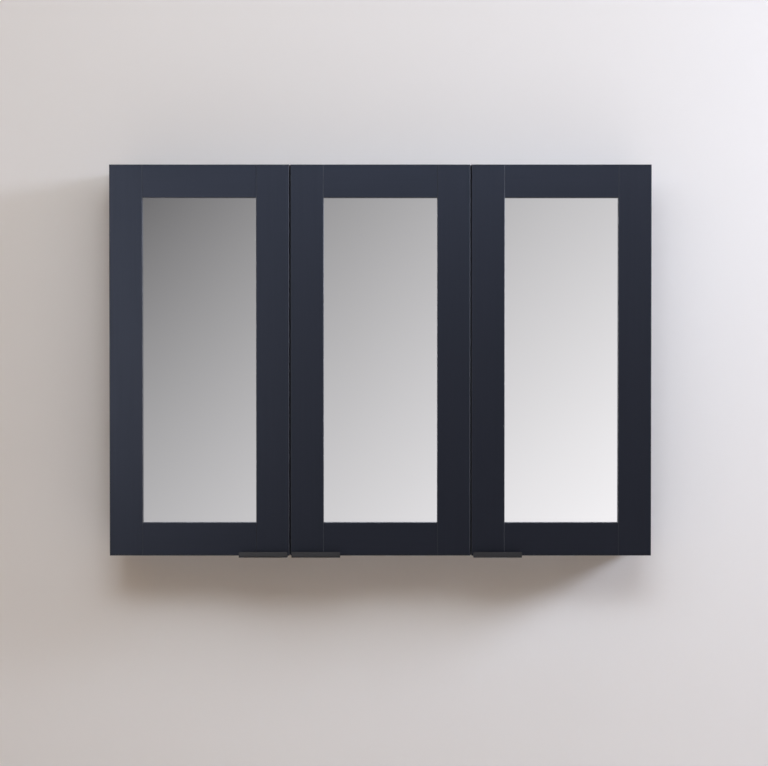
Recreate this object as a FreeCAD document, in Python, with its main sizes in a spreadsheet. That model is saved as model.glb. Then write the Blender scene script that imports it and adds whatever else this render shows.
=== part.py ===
import FreeCAD, Part
import os
import Sketcher

# Wall-hung mirror cabinet: three framed mirror doors on concealed hinges.
# X runs along the wall, Y points into the wall, which is the plane y = 0, and Z is up.
# The origin is the middle of the four wall-screw holes. All sizes are millimetres.

V = FreeCAD.Vector
Rotation = FreeCAD.Rotation
doc = FreeCAD.newDocument("mirror_cabinet")

SIZES = [
    # Carcass
    ("cabinet_width", 900, "side panel to side panel, outside"),
    ("cabinet_height", 650, "over the top and bottom panels"),
    ("cabinet_depth", 150, "wall to the face of the doors"),
    ("board", 16, "side, top, bottom and divider boards"),
    ("back_board", 6, "back panel"),
    ("back_setback", 18, "wall to the back panel, filled by the hanging rails"),
    ("groove_depth", 6, "groove that holds the back panel"),
    ("back_play", 0.5, "back panel edge to the bottom of its groove"),
    ("hanging_rail", 80, "height of a hanging rail"),
    ("wall_hole_spread", 700, "between the wall-screw holes, along the wall"),
    ("wall_hole_radius", 3, "wall-screw hole"),
    ("dowel_radius", 4, "joint dowel"),
    ("dowel_length", 30, "joint dowel"),
    ("dowel_in_face", 10, "how far a dowel enters the face of a board"),
    ("dowel_chamfer", 1, "eased dowel end"),
    ("dowel_end_play", 0.5, "hole past the end of a dowel"),
    ("dowel_front", 30, "front edge to the first dowel"),
    ("dowel_back_set", 15, "back panel to the second dowel"),
    ("board_ease", 0.6, "rounded front edges of the boards"),
    # Shelves
    ("shelf_thickness", 6, "glass shelf"),
    ("shelf_arris", 0.8, "polished edges of the glass"),
    ("shelf_side_play", 1, "shelf end to the board beside it"),
    ("shelf_back_play", 2, "shelf to the back panel"),
    ("shelf_front_set", 15, "carcass front edge to the shelf"),
    ("shelf_rise", 112, "pin height above and below the middle"),
    ("pin_pitch", 32, "between the holes of a row"),
    ("pin_radius", 2.5, "shelf pin"),
    ("pin_hole_depth", 7, "shelf-pin hole"),
    ("pin_seat", 6.5, "shelf pin inside its hole"),
    ("pin_reach", 8, "shelf pin under the shelf"),
    ("pin_collar", 1.5, "collar past the pin's radius"),
    ("pin_collar_width", 1, "collar along the pin"),
    ("row_front_set", 37, "front edge to the front row of holes"),
    ("row_back_set", 20, "back panel to the back row of holes"),
    # Doors
    ("door_thickness", 19, "framed door"),
    ("door_gap", 2, "between two doors"),
    ("door_reveal", 1, "door edge inside the carcass edge"),
    ("door_clearance", 2, "door back to the carcass front edge"),
    ("frame_width", 55, "stiles and rails"),
    ("lip", 6, "front lip of the frame, over the mirror"),
    ("rabbet", 10, "width of the rabbet behind the lip"),
    ("edge_ease", 1, "rounded front edges of the frame"),
    ("mirror", 4, "mirror pane"),
    ("backing", 3, "backing board"),
    ("pane_play", 1, "pane edge to the rabbet"),
    ("bead_width", 9, "glazing bead"),
    ("bumper_radius", 4, "soft door bumper"),
    ("bumper_height", 1.7, "soft door bumper"),
    ("bumper_inset", 30, "door edge to its bumpers"),
    # Pulls
    ("pull_length", 80, "along the door"),
    ("pull_inset", 2.5, "door edge to the pull"),
    ("pull_plate", 1.5, "folded metal"),
    ("pull_reach", 20, "in front of the door"),
    ("pull_lip", 9.5, "height of the turned-up lip"),
    ("pull_bend", 1, "inside radius of the fold"),
    ("pull_corner", 1.5, "rounded lip corners"),
    ("pull_back_set", 3, "door back to the pull"),
    ("pull_screw_end", 15, "pull end to its screw"),
    # Screws
    ("wood_screw_radius", 1.75, "cup and pull screws"),
    ("wood_screw_length", 14, "under the head"),
    ("wood_screw_head", 3.2, "head radius"),
    ("wood_screw_rise", 1.2, "head height"),
    ("plate_screw_radius", 2.5, "hinge-plate screws"),
    ("plate_screw_length", 13, "under the head"),
    ("plate_screw_head", 4.2, "head radius"),
    ("plate_screw_rise", 2.2, "head height"),
    ("arm_screw_radius", 2, "hinge-arm screws"),
    ("arm_screw_length", 4.6, "under the head"),
    ("arm_screw_head", 3.7, "head radius"),
    ("arm_screw_rise", 2.4, "head height"),
    ("screw_play", 0.1, "hole past a screw's radius"),
    # Hinge cup
    ("hinge_inset", 100, "door end to the middle of a hinge"),
    ("cup_radius", 17.5, "cup bored into the stile"),
    ("cup_tab", 4, "door edge to the cup"),
    ("cup_depth", 11.3, "cup below the door back"),
    ("cup_floor", 0.7, "under the well"),
    ("cup_wall", 1.6, "well end to the cup's rim"),
    ("well_half", 5.3, "half the well's width"),
    ("flange_thick", 1.2, "flange on the door back"),
    ("flange_length", 58, "across both screws"),
    ("flange_lead", 6, "flange towards the door edge from the cup's middle"),
    ("flange_trail", 15.5, "flange away from the door edge"),
    ("flange_corner", 5, "rounded flange corners"),
    ("cup_screw_pitch", 45, "between the cup's screws"),
    ("cup_screw_offset", 9.5, "cup's middle to its screws"),
    # Hinge pivots
    ("cup_pin_radius", 1, "pins in the cup"),
    ("cup_pin_half", 7.3, "half length of the pins in the cup"),
    ("outer_in", 11.2, "door edge to the outer link's cup pin"),
    ("outer_deep", 5.3, "door back to the outer link's cup pin"),
    ("inner_in", 8, "door edge to the inner link's cup pin"),
    ("inner_deep", 3.2, "door back to the inner link's cup pin"),
    ("arm_pin_radius", 1.25, "pins in the arm"),
    ("arm_pin_half", 7.4, "half length of the pins in the arm"),
    ("outer_out", 18, "side panel to the outer link's arm pin"),
    ("outer_set", 7, "carcass front to the outer link's arm pin"),
    ("inner_out", 19, "side panel to the inner link's arm pin"),
    ("inner_set", 21, "carcass front to the inner link's arm pin"),
    ("press_play", 0.02, "hole past a fixed pin"),
    ("turning_play", 0.05, "hole past a pin that turns in it"),
    # Hinge links
    ("link_half", 1.7, "half the width of a link"),
    ("cup_eye", 2.1, "link eye on a cup pin"),
    ("arm_eye", 3.2, "outer link's eye on its arm pin"),
    ("outer_layer", 3.4, "middle of the hinge to an outer link plate"),
    ("outer_plate", 1.5, "outer link plate"),
    ("outer_low", 8, "outer link's run below the door back"),
    ("outer_heel", 4.4, "cup pin to the start of that run"),
    ("outer_toe", 11.3, "cup pin to the end of that run"),
    ("outer_neck_out", 13, "side panel to the outer link's neck"),
    ("outer_neck_deep", 2, "outer link's neck below the door back"),
    ("inner_half", 3, "half the thickness of the inner link"),
    ("inner_low", 7.2, "inner link's run below the door back"),
    ("inner_heel", 1.5, "cup pin to the start of that run"),
    ("inner_toe", 8, "cup pin to the end of that run"),
    ("inner_clear", 4.7, "side panel to the inner link's neck"),
    ("inner_neck", 0.5, "start of the neck below the door back"),
    ("inner_shoulder", 9, "end of the neck behind the door back"),
    ("inner_crook_out", 8, "side panel to the inner link's crook"),
    ("inner_crook_set", 15.5, "carcass front to the inner link's crook"),
    ("eye_play", 1.1, "slack of the inner link's eye round its arm pin"),
    ("eye_wall", 1.5, "metal round that eye"),
    ("eye_shift_in", 0.4, "eye from its pin, towards the side panel"),
    ("eye_shift_front", 0.8, "eye from its pin, towards the door"),
    # Hinge arm and mounting plate
    ("plate_thick", 3.5, "mounting plate"),
    ("plate_set", 37, "carcass front to the plate's screws"),
    ("plate_screw_pitch", 32, "between the plate's screws"),
    ("plate_wing", 12, "width of the plate's wings"),
    ("plate_wing_span", 44, "across the plate's wings"),
    ("plate_front", 12, "plate in front of its screws"),
    ("plate_rear", 24, "plate behind its screws"),
    ("plate_half", 7.5, "half the width of the plate's middle"),
    ("arm_half", 6.8, "half the width of the arm"),
    ("arm_slot_half", 5.3, "half the room between the arm's cheeks"),
    ("arm_web", 1.5, "floor of the arm"),
    ("arm_nose", 4, "metal round the arm's pins"),
    ("arm_nose_foot", 10, "side panel to the foot of the nose"),
    ("arm_tail", 6.5, "height of the arm's tail"),
    ("arm_corner", 1.6, "rounded corners of the cheeks"),
    ("arm_screw_set", 50, "carcass front to the arm's fixing screw"),
    ("adjust_screw_set", 37, "carcass front to the arm's adjusting screw"),
]

PLAN = [
    ("half_width", "size.cabinet_width / 2"),
    ("half_height", "size.cabinet_height / 2"),
    ("inner_half_width", "size.cabinet_width / 2 - size.board"),
    ("inner_half_height", "size.cabinet_height / 2 - size.board"),
    ("carcass_depth", "size.cabinet_depth - size.door_thickness - size.door_clearance"),
    ("carcass_front", "size.door_thickness + size.door_clearance - size.cabinet_depth"),
    ("door_back", "size.door_thickness - size.cabinet_depth"),
    ("back_face", "-size.back_setback - size.back_board"),
    ("doors_half", "size.cabinet_width / 2 - size.door_reveal"),
    ("door_width", "(size.cabinet_width - 2 * size.door_reveal - 2 * size.door_gap) / 3"),
    ("door_height", "size.cabinet_height - 2 * size.door_reveal"),
    ("divider_middle", "doors_half - door_width - size.door_gap / 2"),
    ("pane_width", "door_width - 2 * (size.frame_width - size.rabbet + size.pane_play)"),
    ("pane_height", "door_height - 2 * (size.frame_width - size.rabbet + size.pane_play)"),
    ("bead_depth", "size.door_thickness - size.lip - size.mirror - size.backing"),
    ("hanging_rail_middle", "inner_half_height - size.hanging_rail / 2"),
    ("hinge_height", "door_height / 2 - size.hinge_inset"),
    ("plate_screw_rise", "size.plate_screw_pitch / 2"),
    # Places across the hinge, from the door's hinge edge (in) and from the door's back (deep)
    ("side_in", "size.board - size.door_reveal"),
    ("divider_in", "(size.board - size.door_gap) / 2"),
    ("cup_in", "size.cup_tab + size.cup_radius"),
    ("outer_arm_in", "side_in + size.outer_out"),
    ("outer_arm_deep", "size.door_clearance + size.outer_set"),
    ("inner_arm_in", "side_in + size.inner_out"),
    ("inner_arm_deep", "size.door_clearance + size.inner_set"),
    ("arm_rear", "size.door_clearance + size.plate_set + size.plate_rear"),
    ("plate_deep", "size.door_clearance + size.plate_set"),
    ("arm_screw_deep", "size.door_clearance + size.arm_screw_set"),
    ("adjust_screw_deep", "size.door_clearance + size.adjust_screw_set"),
]


def fill_sheet(name, rows, formula):
    """A sheet with one named cell a row, plain numbers or formulas."""
    sheet = doc.addObject("Spreadsheet::Sheet", name)
    for row, (alias, value, *note) in enumerate(rows, start=1):
        sheet.set(f"A{row}", alias)
        sheet.set(f"B{row}", ("=" if formula else "") + str(value))
        sheet.setAlias(f"B{row}", alias)
        sheet.set(f"C{row}", " ".join(note))
    return sheet


size = fill_sheet("size", SIZES, False)
plan = fill_sheet("plan", PLAN, True)
doc.recompute()

NODES = []
TURNED = Rotation(V(0, 1, 0), 180)
UP = V(0, 0, 1)
THICK = {"XY_Plane": UP, "YZ_Plane": V(1, 0, 0)}
AIM = {
    "right": Rotation(UP, V(1, 0, 0)),
    "left": Rotation(UP, V(-1, 0, 0)),
    "wall": Rotation(UP, V(0, 1, 0)),
    "front": Rotation(UP, V(0, -1, 0)),
    "up": Rotation(),
    "down": Rotation(V(1, 0, 0), 180),
}


def number(text):
    """What an expression comes to."""
    result = size.evalExpression(str(text))
    return float(getattr(result, "Value", result))


def bind(item, expressions):
    for name, text in expressions.items():
        item.setExpression(name, str(text))
    return item


def move(item, at, turn=None):
    """Turn an object, and tie its place to three expressions."""
    if turn is not None:
        item.Placement = FreeCAD.Placement(V(0, 0, 0), turn)
    return bind(item, {f".Placement.Base.{axis}": text for axis, text in zip("xyz", at)})


def node(item, label):
    """Name an object as a finished piece."""
    item.Label = label
    NODES.append(item)
    return item


def new_body(name):
    return doc.addObject("PartDesign::Body", name)


def sketch_on(body, name, role, level="0"):
    """A sketch on one of a body's own planes, moved along the plane's normal."""
    sketch = body.newObject("Sketcher::SketchObject", name)
    support = next(item for item in body.Origin.OriginFeatures if item.Role == role)
    sketch.AttachmentSupport = [(support, "")]
    sketch.MapMode = "FlatFace"
    return bind(sketch, {".AttachmentOffset.Base.z": level})


def fix_point(sketch, geometry, point, x, y):
    for kind, text in (("DistanceX", x), ("DistanceY", y)):
        index = sketch.addConstraint(Sketcher.Constraint(kind, geometry, point, number(text)))
        bind(sketch, {f"Constraints[{index}]": text})


def draw(sketch, corners, closed=True):
    """Straight lines through corners, each a pair of expressions."""
    points = [V(number(x), number(y), 0) for x, y in corners]
    ends = points[1:] + points[:1] if closed else points[1:]
    first = sketch.GeometryCount
    for start, end in zip(points, ends):
        sketch.addGeometry(Part.LineSegment(start, end), False)
    count = len(ends)
    for line in range(count if closed else count - 1):
        joined = Sketcher.Constraint("Coincident", first + line, 2, first + (line + 1) % count, 1)
        sketch.addConstraint(joined)
    for line in range(count):
        fix_point(sketch, first + line, 1, *corners[line])
    if not closed:
        fix_point(sketch, first + count - 1, 2, *corners[-1])
    return sketch


def draw_circles(sketch, centres, radius):
    for x, y in centres:
        middle = V(number(x), number(y), 0)
        circle = sketch.addGeometry(Part.Circle(middle, UP, number(radius)), False)
        index = sketch.addConstraint(Sketcher.Constraint("Radius", circle, number(radius)))
        bind(sketch, {f"Constraints[{index}]": radius})
        fix_point(sketch, circle, 3, x, y)
    return sketch


def rectangle(left, bottom, right, top):
    return [(left, bottom), (right, bottom), (right, top), (left, top)]


def pad(body, name, sketch, length, reverse=False):
    feature = body.newObject("PartDesign::Pad", name)
    feature.Profile = sketch
    feature.Reversed = reverse
    return bind(feature, {"Length": length})


def pocket(body, name, sketch, length, reverse=False):
    """Cut a sketch into a body, and make sure that it met the body."""
    doc.recompute()
    before = body.Shape.Volume
    feature = body.newObject("PartDesign::Pocket", name)
    feature.Profile = sketch
    feature.Reversed = reverse
    bind(feature, {"Length": length})
    doc.recompute()
    if not body.Shape.Volume < before:
        raise RuntimeError(f"{name} cuts nothing from {body.Name}")
    return feature


def drill(body, name, role, level, centres, radius, depth, reverse=False):
    holes = draw_circles(sketch_on(body, name + "_centres", role, level), centres, radius)
    return pocket(body, name, holes, depth, reverse)


def ease(body, name, radius, wanted):
    """Round the straight edges of a body that the test picks by middle and direction."""
    doc.recompute()
    base = body.Tip
    picked = []
    for index, edge in enumerate(base.Shape.Edges, start=1):
        start, end = edge.Vertexes[0].Point, edge.Vertexes[-1].Point
        straight = isinstance(edge.Curve, Part.Line)
        if straight and wanted((start + end) / 2, (end - start).normalize()):
            picked.append(f"Edge{index}")
    feature = body.newObject("PartDesign::Fillet", name)
    feature.Base = (base, picked)
    return bind(feature, {"Radius": radius})


def countersink(body, name, width, level):
    """Bevel the rims of round holes that lie at one height."""
    doc.recompute()
    base = body.Tip
    rims = [f"Edge{index}" for index, edge in enumerate(base.Shape.Edges, start=1)
            if isinstance(edge.Curve, Part.Circle) and edge.isClosed() and near(edge.CenterOfMass.z, level)]
    feature = body.newObject("PartDesign::Chamfer", name)
    feature.Base = (base, rims)
    return bind(feature, {"Size": width})


def near(value, text):
    return abs(value - number(text)) < 1e-4


def turned(name, profile):
    """A round piece about Z from its half profile, as radius and height expressions."""
    body = new_body(name)
    sketch = draw(sketch_on(body, name + "_profile", "XZ_Plane"), profile)
    feature = body.newObject("PartDesign::Revolution", name + "_turning")
    feature.Profile = sketch
    feature.ReferenceAxis = (sketch, ["V_Axis"])
    feature.Angle = 360
    return body


def screw(name):
    """A screw with a low domed head that sits on z = 0."""
    radius, length, head, rise = (f"size.{name}_{part}" for part in ("radius", "length", "head", "rise"))
    return turned(name, [
        ("0", rise),
        (f"{head} * 0.6", rise),
        (head, f"{rise} * 0.5"),
        (head, "0"),
        (radius, "0"),
        (radius, f"{radius} - {length}"),
        ("0", f"-{length}"),
    ])


def sunk_screw(name, kind):
    """A screw whose cone-shaped head ends flush on z = 0."""
    radius, length, head = (f"size.{kind}_{part}" for part in ("radius", "length", "head"))
    return turned(name, [
        ("0", "0"),
        (head, "0"),
        (radius, f"{radius} - {head}"),
        (radius, f"{radius} - {length}"),
        ("0", f"-{length}"),
    ])


def instance(master, name, at, turn=None):
    link = doc.addObject("App::Link", name)
    link.LinkedObject = master
    return move(link, at, turn)


def group(label, members):
    compound = doc.addObject("Part::Compound", label)
    compound.Links = members
    return node(compound, label)


def slab(label, low, spans):
    """A plain rectangular pane or strip from its low corner."""
    box = doc.addObject("Part::Box", label)
    bind(box, dict(zip(("Length", "Width", "Height"), spans)))
    return move(box, low)


def board(name, role, outline, thickness):
    """A board cut to an outline on one of the three main planes."""
    body = new_body(name)
    pad(body, name + "_blank", draw(sketch_on(body, name + "_outline", role), outline), thickness)
    return body


def carcass_board(name, role, outline):
    """A board of the carcass, with its front edges eased along their length."""
    body = board(name, role, outline, "size.board")
    ease(body, name + "_eased", "size.board_ease",
         lambda middle, way: near(middle.y, "plan.carcass_front") and abs(way.dot(THICK[role])) < 0.1)
    return body


# Doors from left to right, with the side that each is hinged on
DOORS = [("left", "left"), ("middle", "right"), ("right", "right")]
HINGE_ENDS = [("lower", "-plan.hinge_height"), ("upper", "plan.hinge_height")]
SHELVES = [("upper", "size.shelf_rise"), ("lower", "-size.shelf_rise")]
LAYERS = [("near", "size.outer_layer"), ("far", "-size.outer_layer - size.outer_plate")]

DOWEL_ROW = ["plan.carcass_front + size.dowel_front", "plan.back_face - size.dowel_back_set"]
PIN_ROWS = ["plan.carcass_front + size.row_front_set", "plan.back_face - size.row_back_set"]
PIN_HEIGHTS = [f"{side} * size.shelf_rise + {step} * size.pin_pitch"
               for side in (1, -1) for step in (-1, 0, 1)]
PLATE_HEIGHTS = [f"{side} * plan.hinge_height + {step} * plan.plate_screw_rise"
                 for side in (1, -1) for step in (-1, 1)]
PLATE_ROW = "plan.carcass_front + size.plate_set"
BOARD_MIDDLE = "size.board / 2"
DOWEL_HOLE = "size.dowel_radius + size.turning_play"
FACE_HOLE = "size.dowel_in_face + size.dowel_end_play"
END_HOLE = "size.dowel_length - size.dowel_in_face + size.dowel_end_play"
HANGING_DOWEL = [("-size.back_setback / 2", f"{side} * plan.hanging_rail_middle") for side in (1, -1)]
CORNER_DOWELS = [(row, f"{side} * (plan.half_height - {BOARD_MIDDLE})")
                 for row in DOWEL_ROW for side in (1, -1)]


def pin_and_plate_holes(body, name, level, reverse, plates):
    """Rows of shelf-pin holes, and the plate-screw holes where doors are hinged on the face."""
    holes = [(row, height) for row in PIN_ROWS for height in PIN_HEIGHTS]
    pin_hole = "size.pin_radius + size.turning_play"
    drill(body, name + "_pin_holes", "YZ_Plane", level, holes, pin_hole, "size.pin_hole_depth", reverse)
    if plates:
        holes = [(PLATE_ROW, height) for height in PLATE_HEIGHTS]
        depth = "size.plate_screw_length - size.plate_thick + size.dowel_end_play"
        hole = "size.plate_screw_radius + size.screw_play"
        drill(body, name + "_plate_holes", "YZ_Plane", level, holes, hole, depth, reverse)


def side_panel(label, at, level, reverse):
    """A full-height side; level is its inner face from its own low face."""
    outline = rectangle("plan.carcass_front", "-plan.half_height", "0", "plan.half_height")
    body = carcass_board(label, "YZ_Plane", outline)
    groove = rectangle("plan.back_face", "-plan.inner_half_height - size.groove_depth",
                       "-size.back_setback", "plan.inner_half_height + size.groove_depth")
    sketch = draw(sketch_on(body, label + "_groove_outline", "YZ_Plane", level), groove)
    pocket(body, label + "_groove", sketch, "size.groove_depth", reverse)
    pin_and_plate_holes(body, label, level, reverse, True)
    drill(body, label + "_dowel_holes", "YZ_Plane", level, CORNER_DOWELS + HANGING_DOWEL,
          DOWEL_HOLE, FACE_HOLE, reverse)
    node(move(body, (at, "0", "0")), label)


def level_panel(label, at, level, reverse):
    """The top or the bottom, between the sides; level is its inner face from its own low face."""
    half = "plan.inner_half_width"
    body = carcass_board(label, "XY_Plane", rectangle(f"-{half}", "plan.carcass_front", half, "0"))
    groove = rectangle(f"-{half}", "plan.back_face", half, "-size.back_setback")
    sketch = draw(sketch_on(body, label + "_groove_outline", "XY_Plane", level), groove)
    pocket(body, label + "_groove", sketch, "size.groove_depth", reverse)
    drill(body, label + "_divider_dowel_holes", "XY_Plane", level,
          [("plan.divider_middle", row) for row in DOWEL_ROW], DOWEL_HOLE, FACE_HOLE, reverse)
    ends = [(row, BOARD_MIDDLE) for row in DOWEL_ROW]
    drill(body, label + "_right_end_holes", "YZ_Plane", half, ends, DOWEL_HOLE, END_HOLE)
    drill(body, label + "_left_end_holes", "YZ_Plane", f"-{half}", ends, DOWEL_HOLE, END_HOLE, True)
    node(move(body, ("0", "0", at)), label)


def divider_panel():
    """The upright behind the gap between the middle and the right door."""
    name = "divider_panel"
    half = "plan.inner_half_height"
    outline = rectangle("plan.carcass_front", f"-{half}", "plan.back_face", half)
    body = carcass_board(name, "YZ_Plane", outline)
    pin_and_plate_holes(body, name + "_left", "0", True, True)
    pin_and_plate_holes(body, name + "_right", "size.board", False, False)
    ends = [(BOARD_MIDDLE, row) for row in DOWEL_ROW]
    drill(body, name + "_top_holes", "XY_Plane", half, ends, DOWEL_HOLE, END_HOLE)
    drill(body, name + "_bottom_holes", "XY_Plane", f"-{half}", ends, DOWEL_HOLE, END_HOLE, True)
    node(move(body, (f"plan.divider_middle - {BOARD_MIDDLE}", "0", "0")), name)


WALL_HOLES = [(f"{side} * size.wall_hole_spread / 2", f"{end} * plan.hanging_rail_middle")
              for side in (1, -1) for end in (1, -1)]


def back_panel():
    """The thin back in its grooves, bored for the wall screws."""
    half_wide = "(plan.inner_half_width + size.groove_depth - size.back_play)"
    half_high = "(plan.inner_half_height + size.groove_depth - size.back_play)"
    outline = rectangle(f"-{half_wide}", f"-{half_high}", half_wide, half_high)
    body = board("back_panel", "XZ_Plane", outline, "size.back_board")
    drill(body, "back_panel_wall_holes", "XZ_Plane", "0", WALL_HOLES, "size.wall_hole_radius",
          "size.back_board", True)
    node(move(body, ("0", "-size.back_setback", "0")), "back_panel")


def hanging_rail(label, end):
    """A strip behind the back panel that carries the cabinet on two wall screws."""
    half = "plan.inner_half_width"
    low = f"({end} * plan.hanging_rail_middle - size.hanging_rail / 2)"
    outline = rectangle(f"-{half}", low, half, f"{low} + size.hanging_rail")
    body = board(label, "XZ_Plane", outline, "size.back_setback")
    holes = [hole for hole in WALL_HOLES if hole[1].startswith(f"{end} *")]
    drill(body, label + "_wall_holes", "XZ_Plane", "0", holes, "size.wall_hole_radius",
          "size.back_setback", True)
    dowel = [("-size.back_setback / 2", f"{end} * plan.hanging_rail_middle")]
    drill(body, label + "_right_hole", "YZ_Plane", half, dowel, DOWEL_HOLE, END_HOLE)
    drill(body, label + "_left_hole", "YZ_Plane", f"-{half}", dowel, DOWEL_HOLE, END_HOLE, True)
    node(body, label)


def carcass_dowels():
    radius, bevel = "size.dowel_radius", "size.dowel_chamfer"
    inside, reach = "size.dowel_in_face", "(size.dowel_length - size.dowel_in_face)"
    dowel = turned("dowel", [
        ("0", reach),
        (f"{radius} - {bevel}", reach),
        (radius, f"{reach} - {bevel}"),
        (radius, f"{bevel} - {inside}"),
        (f"{radius} - {bevel}", f"-{inside}"),
        ("0", f"-{inside}"),
    ])
    dowels = []
    for aim, face in (("right", "-plan.inner_half_width"), ("left", "plan.inner_half_width")):
        for y, z in CORNER_DOWELS + HANGING_DOWEL:
            dowels.append(instance(dowel, f"dowel_{aim}_1", (face, y, z), AIM[aim]))
    for aim, face in (("up", "-plan.inner_half_height"), ("down", "plan.inner_half_height")):
        for y in DOWEL_ROW:
            dowels.append(instance(dowel, f"dowel_{aim}_1", ("plan.divider_middle", y, face), AIM[aim]))
    group("carcass_dowels", dowels)


# Bays as name, left face and right face
BAYS = [
    ("wide", "-plan.inner_half_width", f"(plan.divider_middle - {BOARD_MIDDLE})"),
    ("narrow", f"(plan.divider_middle + {BOARD_MIDDLE})", "plan.inner_half_width"),
]


def glass_shelf(label, left, right, height):
    """A glass shelf between two boards, with polished edges; its underside rests on pins at height."""
    outline = rectangle(f"{left} + size.shelf_side_play", "plan.carcass_front + size.shelf_front_set",
                        f"{right} - size.shelf_side_play", "plan.back_face - size.shelf_back_play")
    body = board(label, "XY_Plane", outline, "size.shelf_thickness")
    ease(body, label + "_arrises", "size.shelf_arris", lambda middle, way: abs(way.z) < 0.1)
    node(move(body, ("0", "0", f"{height} + size.pin_radius")), label)


def shelves_and_pins():
    radius, collar = "size.pin_radius", "(size.pin_radius + size.pin_collar)"
    seat, reach, width = "size.pin_seat", "size.pin_reach", "size.pin_collar_width"
    pin = turned("shelf_pin", [
        ("0", reach),
        (radius, reach),
        (radius, width),
        (collar, width),
        (collar, "0"),
        (radius, "0"),
        (radius, f"-{seat}"),
        ("0", f"-{seat}"),
    ])
    pins = []
    for bay, left, right in BAYS:
        for shelf, height in SHELVES:
            glass_shelf(f"shelf_{bay}_{shelf}", left, right, height)
            for aim, face in (("right", left), ("left", right)):
                for row in PIN_ROWS:
                    pins.append(instance(pin, f"shelf_pin_{bay}_1", (face, row, height), AIM[aim]))
    group("shelf_pins", pins)


def stile(label, edge, turn, hinged):
    """A full-height frame member, drawn from its outer edge, with the door's back at y = 0."""
    wide, thick = "size.frame_width", "size.door_thickness"
    seat, inside = "(size.lip - size.door_thickness)", "(size.frame_width - size.rabbet)"
    half = "(plan.door_height / 2)"
    body = new_body(label)
    section = [("0", "0"), ("0", f"-{thick}"), (wide, f"-{thick}"),
               (wide, seat), (inside, seat), (inside, "0")]
    pad(body, label + "_bar", draw(sketch_on(body, label + "_section", "XY_Plane", f"-{half}"), section),
        "plan.door_height")
    ease(body, label + "_eased", "size.edge_ease",
         lambda middle, way: near(middle.y, f"-{thick}"))
    hole, depth = "size.wood_screw_radius + size.screw_play", "size.wood_screw_length"
    if hinged:
        cups = [("plan.cup_in", height) for _, height in HINGE_ENDS]
        drill(body, label + "_cup_bores", "XZ_Plane", "0", cups, "size.cup_radius + size.turning_play",
              "size.cup_depth + size.turning_play", True)
        screws = [("plan.cup_in + size.cup_screw_offset", f"{height} + {side} * size.cup_screw_pitch / 2")
                  for _, height in HINGE_ENDS for side in (1, -1)]
        drill(body, label + "_cup_screw_holes", "XZ_Plane", "0", screws, hole, depth, True)
    else:
        centre = [("size.pull_inset + size.pull_screw_end", f"-{thick} / 2")]
        level = half if turn else f"-{half}"
        drill(body, label + "_pull_screw_hole", "XY_Plane", level, centre, hole, depth, not turn)
    node(move(body, (edge, "plan.door_back", "0"), turn), label)


def rail(label, middle, end, turn, pull_side):
    """A frame member between the stiles, drawn from its outer edge; its back half laps into their rabbets."""
    wide, thick = "size.frame_width", "size.door_thickness"
    seat, inside = "(size.lip - size.door_thickness)", "(size.frame_width - size.rabbet)"
    half = f"(plan.door_width / 2 - {inside})"
    body = new_body(label)
    section = [("0", "0"), (f"-{thick}", "0"), (f"-{thick}", wide),
               (seat, wide), (seat, inside), ("0", inside)]
    pad(body, label + "_bar", draw(sketch_on(body, label + "_section", "YZ_Plane", f"-{half}"), section),
        f"2 * {half}")
    ease(body, label + "_eased", "size.edge_ease",
         lambda middle, way: abs(way.x) > 0.9 and near(middle.y, f"-{thick}"))
    shoulders = sketch_on(body, label + "_shoulder_outline", "XY_Plane", wide)
    draw(shoulders, rectangle(f"{half} - size.rabbet", f"-{thick}", half, seat))
    draw(shoulders, rectangle(f"-{half}", f"-{thick}", f"size.rabbet - {half}", seat))
    pocket(body, label + "_shoulders", shoulders, wide)
    if pull_side:
        from_edge = "size.pull_inset + size.pull_length - size.pull_screw_end"
        centre = [(f"{pull_side} * (plan.door_width / 2 - ({from_edge}))", f"-{thick} / 2")]
        hole = "size.wood_screw_radius + size.screw_play"
        drill(body, label + "_pull_screw_hole", "XY_Plane", "0", centre, hole, "size.wood_screw_length", True)
    node(move(body, (middle, "plan.door_back", f"{end} * plan.door_height / 2"), turn), label)


def glazing(door, middle):
    """The mirror, the board behind it and the four beads that hold them."""
    front = "(size.lip - size.cabinet_depth)"
    low_x, low_z = f"{middle} - plan.pane_width / 2", "-plan.pane_height / 2"
    pane = ("plan.pane_width", "plan.pane_height")
    mirror = slab(f"mirror_{door}", (low_x, front, low_z), (pane[0], "size.mirror", pane[1]))
    node(mirror, f"mirror_{door}")
    backing = slab(f"backing_{door}", (low_x, f"{front} + size.mirror", low_z),
                   (pane[0], "size.backing", pane[1]))
    node(backing, f"backing_{door}")
    half_wide = "(plan.pane_width / 2 + size.pane_play)"
    half_high = "(plan.pane_height / 2 + size.pane_play)"
    bead, depth = "size.bead_width", "plan.bead_depth"
    back = f"{front} + size.mirror + size.backing"
    beads = []
    for side, x in (("low", f"-{half_wide}"), ("high", f"{half_wide} - {bead}")):
        beads.append(slab(f"bead_upright_{side}_{door}", (f"{middle} + {x}", back, f"-{half_high}"),
                          (bead, depth, f"2 * {half_high}")))
    for side, z in (("low", f"-{half_high}"), ("high", f"{half_high} - {bead}")):
        beads.append(slab(f"bead_level_{side}_{door}", (f"{middle} - {half_wide} + {bead}", back, z),
                          (f"2 * ({half_wide} - {bead})", depth, bead)))
    group(f"glazing_beads_{door}", beads)


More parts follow.
